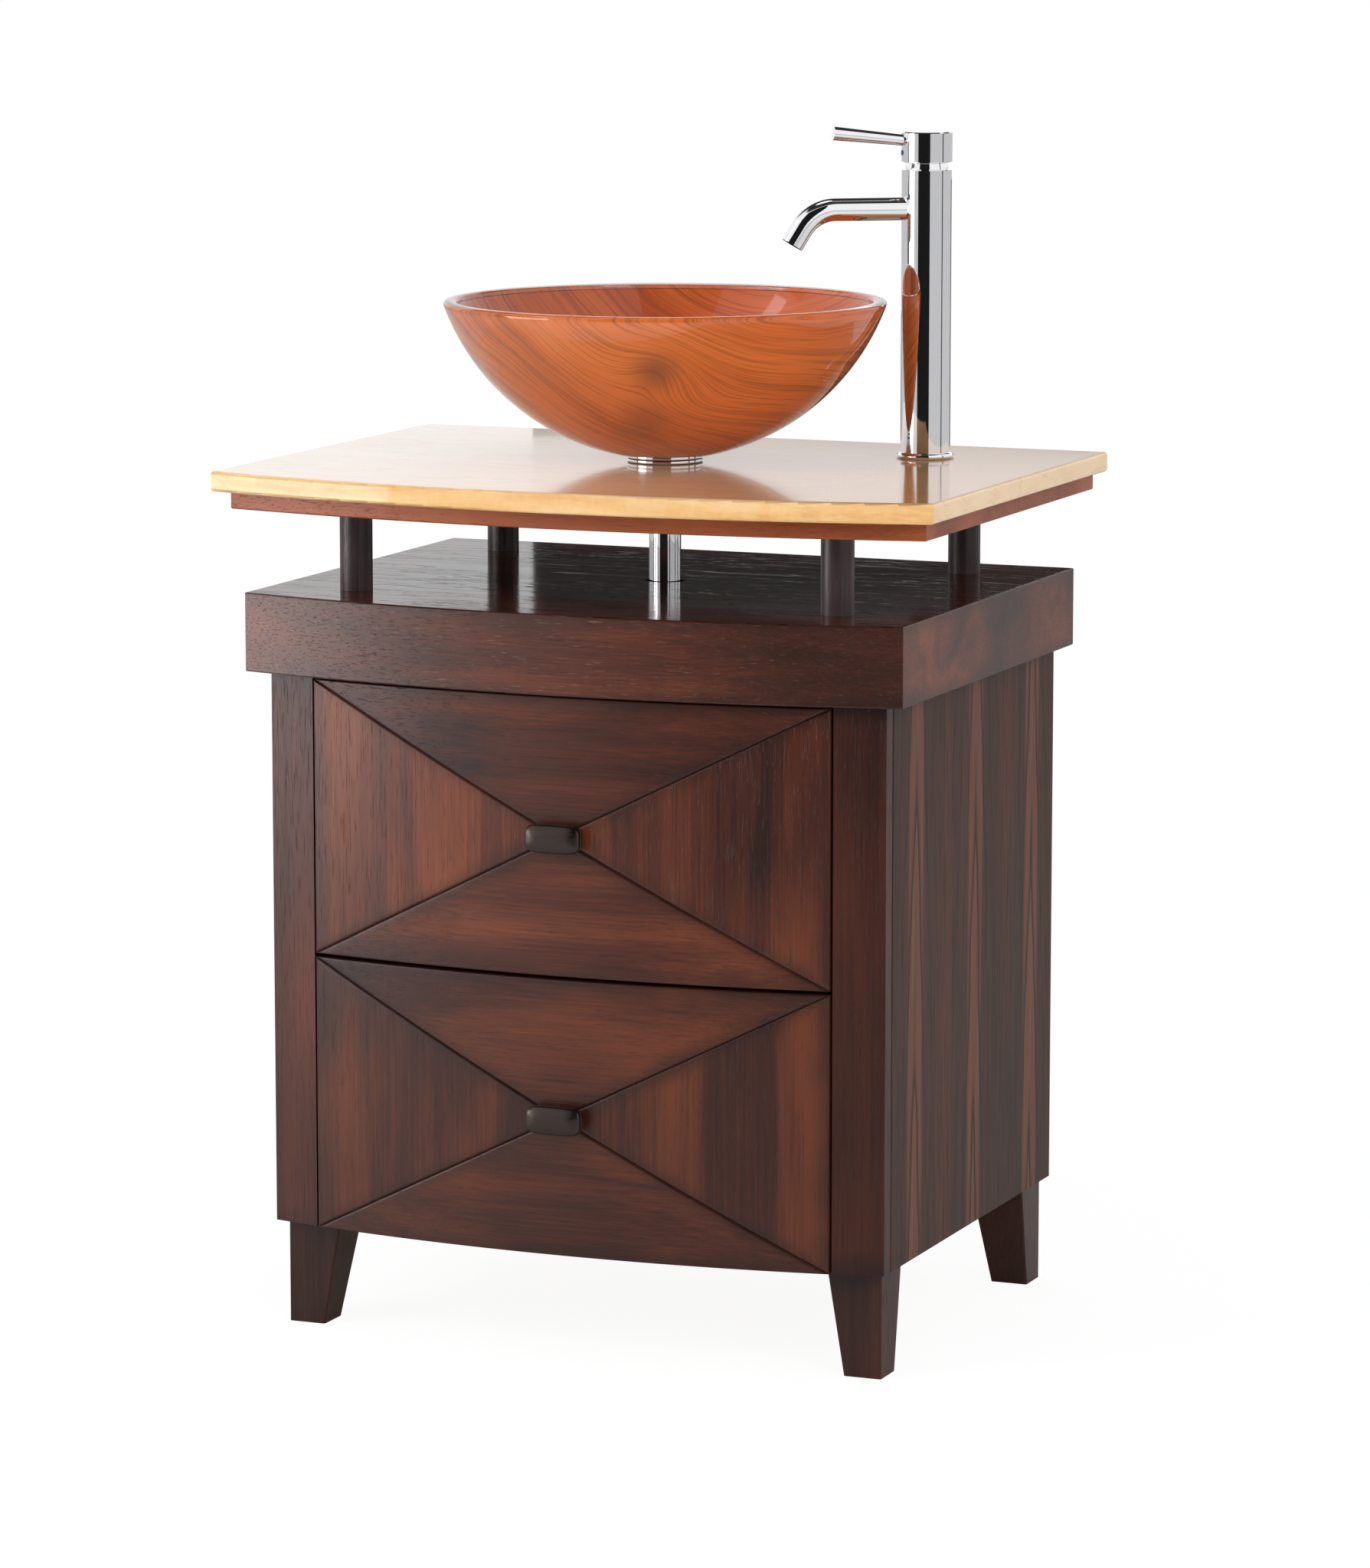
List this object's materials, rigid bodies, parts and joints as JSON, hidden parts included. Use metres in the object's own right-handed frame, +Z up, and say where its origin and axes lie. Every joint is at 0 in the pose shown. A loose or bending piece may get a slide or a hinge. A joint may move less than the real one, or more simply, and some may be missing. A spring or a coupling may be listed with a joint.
{
  "type": "vessel sink on vanity",
  "caption": "Bow-front bathroom vanity with drawers, a stone top raised on posts, a round glass vessel sink and a tall single-lever mixer tap.",
  "frame": {"origin": "on the floor under the middle of the stone top's outline", "axes": "+Z up, +X to the right seen from the front, -Y towards the user"},
  "size_m": [0.711, 0.53, 1.1192],
  "materials": {
    "espresso_wood": "satin",
    "inner_wood": "matt",
    "post_dark": "satin",
    "stone": "polished",
    "clear_glass": "polished",
    "bowl_lining": "polished",
    "chrome": "polished",
    "brass_inner": "machined",
    "pewter": "brushed dark pewter plating",
    "slide_steel": "zinc plated",
    "screw_steel": "zinc plated",
    "rubber": "matt",
    "white_plastic": "matt"
  },
  "bodies": {
    "cabinet": {"stone_top": "stone", "support_board": "espresso_wood", "base_slab": "espresso_wood", "side_panel_left": "espresso_wood", "side_panel_right": "espresso_wood", "stile_left": "espresso_wood", "stile_right": "espresso_wood", "back_panel": "espresso_wood", "front_rails": "espresso_wood", "bottom_panel": "inner_wood", "slide_cleats": "inner_wood", "leg_front_left": "espresso_wood", "leg_front_right": "espresso_wood", "leg_rear_left": "espresso_wood", "leg_rear_right": "espresso_wood", "leg_bolts": "screw_steel", "post_tie_rods": "screw_steel", "post_left_front": "post_dark", "post_right_front": "post_dark", "post_left_rear": "post_dark", "post_right_rear": "post_dark", "slide_cabinet_members": "slide_steel", "bowl_glass": "clear_glass", "bowl_wood_lining": "bowl_lining", "mounting_ring": "chrome", "ring_gasket": "rubber", "drain_body": "chrome", "drain_gasket": "rubber", "drain_nut": "brass_inner", "tailpiece": "chrome", "clamp_washers": "rubber", "tap_foot_ring": "chrome", "tap_column": "chrome", "tap_spout": "chrome", "spout_aerator": "chrome", "tap_shank": "brass_inner", "tap_nut": "brass_inner", "tap_cartridge": "white_plastic"},
    "upper_drawer": {"upper_drawer_front": "espresso_wood", "upper_drawer_knob": "pewter", "upper_knob_screw": "screw_steel", "upper_drawer_sides": "inner_wood", "upper_drawer_back": "inner_wood", "upper_drawer_bottom": "inner_wood", "upper_slide_drawer_members": "slide_steel", "upper_drawer_pipe_notch": "inner_wood"},
    "lower_drawer": {"lower_drawer_front": "espresso_wood", "lower_drawer_knob": "pewter", "lower_knob_screw": "screw_steel", "lower_drawer_sides": "inner_wood", "lower_drawer_back": "inner_wood", "lower_drawer_bottom": "inner_wood", "lower_slide_drawer_members": "slide_steel"},
    "upper_slide": {"upper_slide_middle_members": "slide_steel"},
    "lower_slide": {"lower_slide_middle_members": "slide_steel"},
    "stopper": {"drain_stopper": "chrome"},
    "handle_base": {"handle_core": "brass_inner"},
    "handle": {"handle_stem": "brass_inner", "handle_cap": "chrome", "handle_lever": "chrome"}
  },
  "joints": [
    {"name": "upper_drawer_slide", "type": "slide", "parent": "cabinet", "child": "upper_drawer", "axis": [0, -1, 0], "range_m": [0, 0.3]},
    {"name": "upper_middle_slide", "type": "slide", "parent": "cabinet", "child": "upper_slide", "axis": [0, -1, 0], "range_m": [0, 0.15]},
    {"name": "lower_drawer_slide", "type": "slide", "parent": "cabinet", "child": "lower_drawer", "axis": [0, -1, 0], "range_m": [0, 0.3]},
    {"name": "lower_middle_slide", "type": "slide", "parent": "cabinet", "child": "lower_slide", "axis": [0, -1, 0], "range_m": [0, 0.15]},
    {"name": "stopper_lift", "type": "slide", "parent": "cabinet", "child": "stopper", "axis": [0, 0, 1], "range_m": [0, 0.008]},
    {"name": "temperature_turn", "type": "hinge", "parent": "cabinet", "child": "handle_base", "pos_m": [0.214, 0.148, 1.079], "axis": [0, 0, 1], "range_deg": [-45, 45]},
    {"name": "lever_lift", "type": "hinge", "parent": "handle_base", "child": "handle", "pos_m": [0.214, 0.148, 1.079], "axis": [-0.5592, 0.829, 0], "range_deg": [0, 15]}
  ],
  "couplings": [
    {"joint": "upper_middle_slide", "follows": "upper_drawer_slide", "ratio": 0.5},
    {"joint": "lower_middle_slide", "follows": "lower_drawer_slide", "ratio": 0.5}
  ]
}
